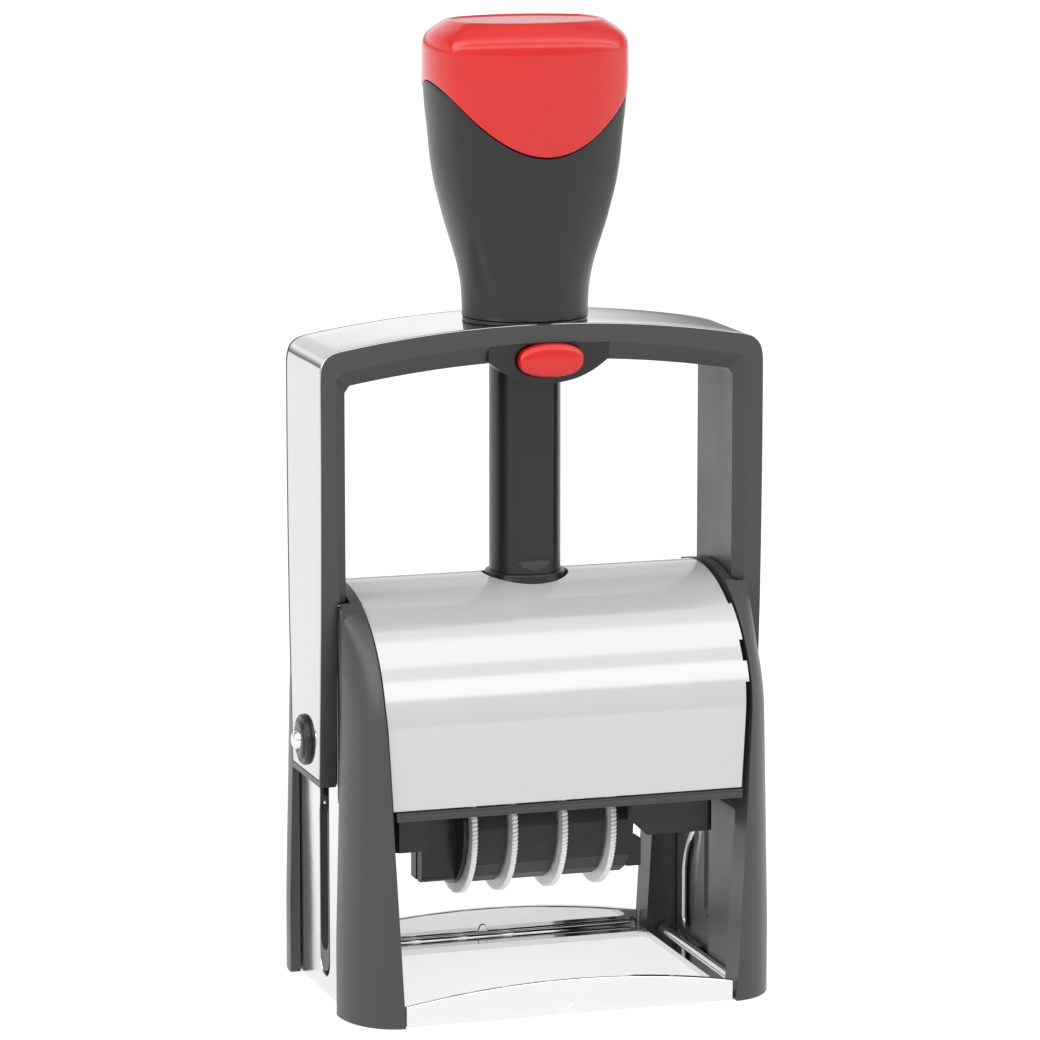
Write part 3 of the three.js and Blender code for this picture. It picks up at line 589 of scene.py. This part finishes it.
def arch(y, half_width, corner, apex, bottom, steps=36):
    """Outline of the yoke's opening at one depth, with a shallow arch on top."""
    points = [(half_width, y, bottom), (half_width, y, corner - 1.2)]
    for i in range(steps + 1):
        x = (half_width - 0.9) * (1 - 2 * i / steps)
        share = x / (half_width - 0.9)
        points.append((x, y, apex - (apex - corner) * share * share))
    return points + [(-half_width, y, corner - 1.2), (-half_width, y, bottom)]


def oval(half_width, half_height, sides=64):
    """The lock button's rounded oval in (X, Z)."""
    points = []
    for i in range(sides):
        angle = 2 * math.pi * i / sides
        c, s = math.cos(angle), math.sin(angle)
        points.append((BUTTON_X + half_width * math.copysign(abs(c) ** 0.82, c),
                       BUTTON_Z + half_height * math.copysign(abs(s) ** 0.82, s)))
    return points


def side_view(inset):
    """A solid with the yoke's outline in (Y, Z), shallower by the inset all along."""
    front = [(half_depth - inset, z) for z, half_depth in DEPTHS]
    return prism(front + [(-y, z) for y, z in reversed(front)], "x", -50, 50)


def yoke_shell():
    """The dark portal with its bevelled opening, and the lens-shaped boss round the button."""
    portal = prism(yoke_path(0, YOKE_FOOT), "y", -12, 12)
    keep(portal, side_view(0))
    opening, flared = (36.5, 113, 116.1, 20), (39.0, 115.9, 120.0, 20)
    cut(portal, grid([arch(-9.4, *opening), arch(9.4, *opening)]))
    for side in (-1, 1):
        cut(portal, grid([arch(side * 9.39, *opening), arch(side * 12.1, *flared)]))
    band = prism(yoke_path(-5, 41.5), "y", -11.35, 11.35)
    cut(band, prism(yoke_path(1.3, 0), "y", -20, 20))
    keep(band, side_view(0.45))
    inner, outer = LEG_ROOM
    cut(portal, band,
        block((inner, outer), (-9.1, 9.1), (30, 112.5)),
        block((-outer, -inner), (-9.1, 9.1), (30, 112.5)),
        block((-outer, outer), (-15, 15), (30, 74.2)))

    boss_half, boss_top, boss_bottom, boss_rear = 11.3, 119.2, 112.1, -9.2
    boss = [(BUTTON_X + boss_half, boss_top), (BUTTON_X - boss_half, boss_top)]
    for i in range(-32, 33):
        boss.append((BUTTON_X + boss_half * i / 32, boss_bottom + 4.2 * abs(i / 32) ** 2.3))
    column_room = [(7.0, 100), (7.0, 118.2), (8.8, 118.2), (8.8, 130)]
    cut(portal, prism(boss, "y", -15, boss_rear), lathe(column_room, sides=48))
    finished(soften(portal, 0.35), "yoke_shell", "yoke", "dark_plastic", "yoke_frame")

    lens = prism(boss, "y", -11.5, boss_rear)
    cut(lens, prism(oval(6.35, 3.25), "y", -15, -9.6), lathe(column_room, sides=48))
    finished(soften(lens, 0.25), "button_lens", "yoke", "dark_plastic", finish="black_plastic")


def chrome_band():
    """Bent strip over the yoke's sides and top, with rolled edges."""
    outer = yoke_path(-0.12, 41.8)
    rings = []
    for k, (x, z) in enumerate(outer):
        before, after = outer[max(0, k - 1)], outer[min(len(outer) - 1, k + 1)]
        along = Vector((after[0] - before[0], after[1] - before[1])).normalized()
        inward = Vector((-along.y, along.x))
        front = min(yoke_depth(z) - 0.55, 11.25)
        rear = front - 0.4
        section = [(1.0, -front), (0.3, -front), (0.09, 0.09 - front), (0, 0.35 - front),
                   (0, -front / 2), (0, 0), (0, rear / 2),
                   (0, rear - 0.35), (0.09, rear - 0.09), (0.3, rear), (1.0, rear), (1.0, 0)]
        rings.append([(x + inward.x * d, y, z + inward.y * d) for d, y in section])
    band = grid(rings)
    finished(smooth(band), "chrome_strip", "yoke", "chromed_steel", "chrome_band",
             finish="band_chrome")


yoke_shell()
chrome_band()

# ------------------------------------------------------------------ handle

# Heights with the grip's half width, half depth and the place of its soft corner lines.
GRIP = (
    (123.1, 11.5, 11.5, 0.80),
    (125.0, 11.5, 11.4, 0.80),
    (129.0, 11.7, 11.4, 0.81),
    (132.6, 12.35, 11.7, 0.83),
    (136.3, 13.4, 12.2, 0.85),
    (140.0, 14.5, 12.8, 0.87),
    (143.7, 15.5, 13.3, 0.875),
    (147.5, 16.4, 13.8, 0.88),
    (152.0, 17.1, 14.2, 0.88),
    (156.0, 17.45, 14.6, 0.88),
    (160.6, 17.95, 15.0, 0.88),
    (166.0, 18.3, 15.25, 0.88),
    (170.5, 18.3, 15.25, 0.88),
    (176.0, 18.3, 15.25, 0.88),
)
CORNER_Y = 0.6
GRIP_FOOT = 123.1
SEAM_LOWEST = 152.8
HANDLE_BORE = ((8.8, 110), (8.8, 173.6))


def grip_size(z):
    """Smooth half width, half depth and corner share at a height."""
    for k in range(len(GRIP) - 1):
        if z <= GRIP[k + 1][0]:
            break
    t = (z - GRIP[k][0]) / (GRIP[k + 1][0] - GRIP[k][0])
    values = []
    for c in (1, 2, 3):
        p = [GRIP[min(max(k + d, 0), len(GRIP) - 1)][c] for d in (-1, 0, 1, 2)]
        values.append(0.5 * (2 * p[1] + (p[2] - p[0]) * t
                             + (2 * p[0] - 5 * p[1] + 4 * p[2] - p[3]) * t * t
                             + (3 * p[1] - p[0] - 3 * p[2] + p[3]) * t ** 3))
    return values


def reach(angle, half, half_other, share, share_other):
    """Distance along a ray to the crowned face that stands across the first axis."""
    sag = (1 - share) * half
    chord = share_other * half_other
    radius = (chord * chord + sag * sag) / (2 * sag)
    centre = half - radius
    c = abs(math.cos(angle))
    return c * centre + math.sqrt(max(0, radius * radius - centre * centre * (1 - c * c)))


def grip_point(angle, z, offset=0.0, scale=1.0):
    """Where the handle's surface is in this direction and at this height."""
    a, b, corner = grip_size(z)
    side = reach(angle, a, b, corner, CORNER_Y)
    front = reach(angle - math.pi / 2, b, a, CORNER_Y, corner)
    softness = 0.13
    shortest = min(side, front)
    total = math.exp((shortest - side) / softness) + math.exp((shortest - front) / softness)
    r = shortest - softness * math.log(total) + offset
    return r * scale * math.cos(angle), r * (scale - (1 - scale) * 0.35) * math.sin(angle)


def seam_height(angle, offset):
    """Where the swept seam between cap and grip meets the surface in this direction."""
    z = 158.0
    for _ in range(30):
        x, _y = grip_point(angle, z, offset)
        z = 0.5 * z + 0.5 * (SEAM_LOWEST + 0.039 * x * x)
    return z


def handle():
    """The grip, the red cap above its swept seam, and the round seat under the grip."""
    sides = 144
    angles = [2 * math.pi * i / sides for i in range(sides)]
    seams = [seam_height(a, 0) for a in angles]
    rows, lowest, under_seam = 44, GRIP_FOOT + 0.12, 0.45
    rings = [[(*grip_point(a, 123.3, -2.0), GRIP_FOOT) for a in angles],
             [(*grip_point(a, 123.3, -0.12), GRIP_FOOT) for a in angles]]
    for r in range(rows + 1):
        share = r / rows
        ring = []
        for a, seam in zip(angles, seams):
            z = lowest + (seam - under_seam - lowest) * share
            ring.append((*grip_point(a, z), z))
        rings.append(ring)
    for drop, inset in ((0.25, -0.12), (0.12, -0.45), (0.1, -2.0)):
        rings.append([(*grip_point(a, seam - drop, inset), seam - drop)
                      for a, seam in zip(angles, seams)])
    grip = cut(grid(rings), lathe(HANDLE_BORE))
    finished(smooth(grip), "grip_shell", "yoke", "dark_plastic", "handle_grip",
             finish="grip_plastic")

    rings = []
    proud, over_seam, straight_to = 0.16, 0.25, 171.0
    for lift, inset in ((0.1, -2.0), (0.0, -0.5), (0.06, 0.0), (over_seam, proud)):
        rings.append([(*grip_point(a, seam + lift, inset), seam + lift)
                      for a, seam in zip(angles, seams)])
    rows = 26
    for r in range(1, rows + 1):
        share = r / rows
        ring = []
        for a, seam in zip(angles, seams):
            z = seam + over_seam + (straight_to - seam - over_seam) * share
            ring.append((*grip_point(a, z, proud), z))
        rings.append(ring)
    for z, scale in ((171.8, 0.998), (172.6, 0.990), (173.3, 0.975), (173.9, 0.952),
                     (174.45, 0.922), (175.0, 0.883), (175.5, 0.842), (175.9, 0.807),
                     (176.2, 0.778), (176.36, 0.759), (176.4, 0.748), (176.36, 0.738),
                     (176.2, 0.73), (176.14, 0.72)):
        rings.append([(*grip_point(a, straight_to, proud, scale), z) for a in angles])
    recess = rings[-1]
    for share in (0.8, 0.5, 0.2):
        rings.append([(x * share, y * share, z) for x, y, z in recess])
    cap = cut(grid(rings), lathe(HANDLE_BORE))
    finished(smooth(cap), "cap_shell", "yoke", "red_plastic", "handle_cap")

    seat = lathe([(8.8, 120.2), (10.9, 120.2), (11.0, 121.6), (11.2, 122.5), (11.32, 122.9),
                  (11.25, 122.98), (8.8, 122.98)], sides=96)
    finished(smooth(seat), "handle_seat", "yoke", "dark_plastic", finish="grip_plastic")


def pivots():
    """A domed boss with a ring groove and a bright rivet on each leg."""
    for side in (-1, 1):
        name = "left" if side < 0 else "right"
        dome = [(4.65, 41.55), (4.65, 41.9), (4.5, 42.3), (4.2, 42.5), (3.95, 42.45), (3.8, 42.3),
                (3.65, 42.45), (3.4, 42.75), (3.0, 42.93), (2.2, 43.0), (1.9, 42.9)]
        boss = lathe([(r, side * x) for r, x in dome], "x", (0, PIVOT_Z), 64)
        finished(smooth(boss), f"pivot_cap_{name}", "yoke", "black_plastic", f"pivot_boss_{name}")
        rivet = [(2.2, 28.6), (2.2, 42.0), (1.7, 42.3), (1.7, 43.3), (1.55, 43.7), (1.2, 43.95),
                 (0.6, 44.1)]
        pin = lathe([(r, side * x) for r, x in rivet], "x", (0, PIVOT_Z), 48)
        finished(smooth(pin), f"pivot_rivet_{name}", "yoke", "chromed_steel", f"pivot_pin_{name}")


def lock_button():
    """The button's rounded dome."""
    rings = []
    for y, grow in ((-11.4, 0), (-12.7, 0), (-13.1, -0.05), (-13.4, -0.2), (-13.65, -0.5),
                    (-13.82, -0.9), (-13.93, -1.5), (-14.0, -2.3)):
        rings.append([(x, y, z) for x, z in oval(6.1 + grow, 3.0 + grow)])
    finished(smooth(grid(rings)), "button_dome", "lock_button", "red_plastic", "lock_button")


handle()
pivots()
lock_button()

# ------------------------------------------------------------------ print unit

AXLE_Z = 30.5
WHEEL_RADIUS = 13.4
DRUM_RADIUS = 10.2
# From each thumb wheel to the end of the drum beside it.
SPANS = ((-13.6, -6.95), (-6.0, 2.55), (3.5, 11.85), (12.8, 17.3))


def thumb_wheels():
    """Knurled thumb wheels, each with the drum that carries its band."""
    teeth, tooth_depth, half_thickness = 110, 0.4, 0.5
    root = WHEEL_RADIUS - tooth_depth
    for k, (wheel, end) in enumerate(SPANS):
        rim = []
        for i in range(teeth):
            for step, radius in ((0, WHEEL_RADIUS), (0.35, WHEEL_RADIUS),
                                 (0.55, root), (0.8, root)):
                angle = 2 * math.pi * (i + step) / teeth
                rim.append((radius * math.cos(angle), AXLE_Z + radius * math.sin(angle)))
        disc = prism(rim, "x", wheel - half_thickness, wheel + half_thickness)
        join(disc, prism(circle(0, AXLE_Z, DRUM_RADIUS, 64), "x", wheel, end))
        cut(disc, prism(circle(0, AXLE_Z, 1.66, 32), "x", -30, 30))
        finished(soften(disc, 0.09), f"wheel_disc_{k + 1}", f"wheel_{k + 1}", "white_plastic",
                 f"thumb_wheel_{k + 1}")


def belt(wheel_radius, nose_radius):
    """A band's course in (Y, Z): faceted round the drum, straight to the nose and round it."""
    nose_z = 56.8
    lean = math.asin((wheel_radius - nose_radius) / (nose_z - AXLE_Z))
    points = []
    for i in range(9):
        angle = lean + (math.pi - 2 * lean) * i / 8
        points.append((nose_radius * math.cos(angle), nose_z + nose_radius * math.sin(angle)))
    facets = 12
    for i in range(facets + 1):
        angle = math.pi - lean + (math.pi + 2 * lean) * i / facets
        points.append((wheel_radius * math.cos(angle), AXLE_Z + wheel_radius * math.sin(angle)))
    return points


def date_bands():
    """The four date bands, each beside its thumb wheel."""
    facet_angle = math.radians(12)
    for k, (wheel, end) in enumerate(SPANS):
        band = prism(belt(11.5, 2.0), "x", wheel + 0.7, end - 0.1)
        cut(band, prism(belt(10.5, 1.1), "x", wheel - 1, end + 1))
        finished(soften(band, 0.2, angle=facet_angle), f"date_belt_{k + 1}", "print_unit",
                 "band_rubber", f"date_band_{k + 1}")


thumb_wheels()
date_bands()

# ------------------------------------------------------------------ CAD nodes that stay

# Finish and edge radius of each.
KEPT = {
    "front_rim": ("dark_plastic", 0.2), "rear_rim": ("dark_plastic", 0.2),
    "cross_bridge": ("black_plastic", 0.2), "pad_tray": ("black_plastic", 0.3),
    "ink_pad": ("pad_felt", 0.4),
    "bridge_screw_1": ("spring_steel", 0.15), "bridge_screw_2": ("spring_steel", 0.15),
    "print_frame": ("black_plastic", 0.3), "date_bracket": ("black_plastic", 0.3),
    "wheel_axle": ("spring_steel", 0.15), "plate_mount": ("black_plastic", 0.15),
    "text_plate": ("stamp_rubber", 0.12), "handle_core": ("black_plastic", 0.2),
}


def dress_cad_nodes():
    """Gives the CAD nodes that stay their finish and soft edges."""
    for name, (slot, width) in KEPT.items():
        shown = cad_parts[name]
        shown.data.materials.clear()
        shown.data.materials.append(FINISH[slot])
        flatten = shown.modifiers.new("flat", "DECIMATE")
        flatten.decimate_type = "DISSOLVE"
        flatten.angle_limit = FLAT_ANGLE
        bevel = shown.modifiers.new("edges", "BEVEL")
        bevel.width = width * MM
        bevel.segments = 2
        bevel.limit_method = "ANGLE"
        bevel.angle_limit = SMOOTH_ANGLE
        normals = shown.modifiers.new("normals", "WEIGHTED_NORMAL")
        normals.keep_sharp = False
        for face in shown.data.polygons:
            face.use_smooth = True


dress_cad_nodes()


# ------------------------------------------------------------------ stage and light

def pale_floor():
    """A plain floor that glows softly, so that it stays pale under the object."""
    half = 12.0
    below = 0.00002
    mesh = bpy.data.meshes.new("floor")
    mesh.from_pydata([(-half, -half, 0), (half, -half, 0), (half, half, 0), (-half, half, 0)],
                     [], [(0, 1, 2, 3)])
    paper = surface("floor", (0.34, 0.34, 0.34), 0.8, vary=0.004, bump=0.0, specular=0.05)
    shader = paper.node_tree.nodes["Principled BSDF"]
    shader.inputs["Emission Color"].default_value = (1, 1, 1, 1)
    shader.inputs["Emission Strength"].default_value = 0.72
    mesh.materials.append(paper)
    floor = bpy.data.objects.new("floor", mesh)
    floor.location.z = -below
    bpy.context.scene.collection.objects.link(floor)


# Brightness of the room by direction: degrees up from the front horizon, over the top, to the rear.
SKY = ((0, 0.7), (14, 0.75), (25, 0.8), (27, 2.6), (43, 2.6), (45, 1.15), (56, 1.15), (58, 2.3),
       (80, 2.3), (84, 1.25), (94, 1.15), (102, 0.7), (116, 0.65), (122, 0.35), (136, 0.35),
       (148, 0.85), (165, 0.95), (168, 1.2), (171, 1.2), (174, 0.8), (178, 0.3), (180, 0.25))


def room():
    """The room's light: a ramp over the turn about X. The camera itself sees plain white."""
    world = bpy.data.worlds.new("room")
    world.use_nodes = True
    bpy.context.scene.world = world
    tree = world.node_tree
    background = tree.nodes["Background"]
    way = tree.nodes.new("ShaderNodeTexCoord").outputs["Generated"]
    split = tree.nodes.new("ShaderNodeSeparateXYZ")
    tree.links.new(way, split.inputs["Vector"])
    flip = tree.nodes.new("ShaderNodeMath")
    flip.operation = "MULTIPLY"
    flip.inputs[1].default_value = -1
    tree.links.new(split.outputs["Y"], flip.inputs[0])
    turn = tree.nodes.new("ShaderNodeMath")
    turn.operation = "ARCTAN2"
    tree.links.new(split.outputs["Z"], turn.inputs[0])
    tree.links.new(flip.outputs[0], turn.inputs[1])
    share = spread(tree, turn.outputs[0], 0, 1, (0, math.pi))
    ramp = tree.nodes.new("ShaderNodeValToRGB")
    peak = max(light for _, light in SKY)
    for _ in range(len(SKY) - 2):
        ramp.color_ramp.elements.new(0.5)
    for element, (angle, light) in zip(ramp.color_ramp.elements, SKY):
        element.position = angle / 180
        element.color = (light / peak, light / peak, light / peak, 1)
    tree.links.new(share, ramp.inputs["Fac"])
    gain = tree.nodes.new("ShaderNodeVectorMath")
    gain.operation = "SCALE"
    gain.inputs["Scale"].default_value = peak
    tree.links.new(ramp.outputs["Color"], gain.inputs[0])
    seen = tree.nodes.new("ShaderNodeLightPath").outputs["Is Camera Ray"]
    choose = tree.nodes.new("ShaderNodeMix")
    choose.data_type = "RGBA"
    choose.inputs["B"].default_value = (1, 1, 1, 1)
    tree.links.new(seen, choose.inputs["Factor"])
    tree.links.new(gain.outputs["Vector"], choose.inputs["A"])
    tree.links.new(choose.outputs["Result"], background.inputs["Color"])


def softbox(name, place, aim, size, power):
    """A large square light that faces `aim`, in metres and watts."""
    light = bpy.data.lights.new(name, "AREA")
    light.size = size
    light.energy = power
    made = bpy.data.objects.new(name, light)
    made.location = place
    made.rotation_euler = (Vector(aim) - Vector(place)).to_track_quat("-Z", "Y").to_euler()
    bpy.context.scene.collection.objects.link(made)


pale_floor()
room()
softbox("left_light", (-1.1, -0.15, 0.75), (0, 0, 0.14), 0.8, 3.4)
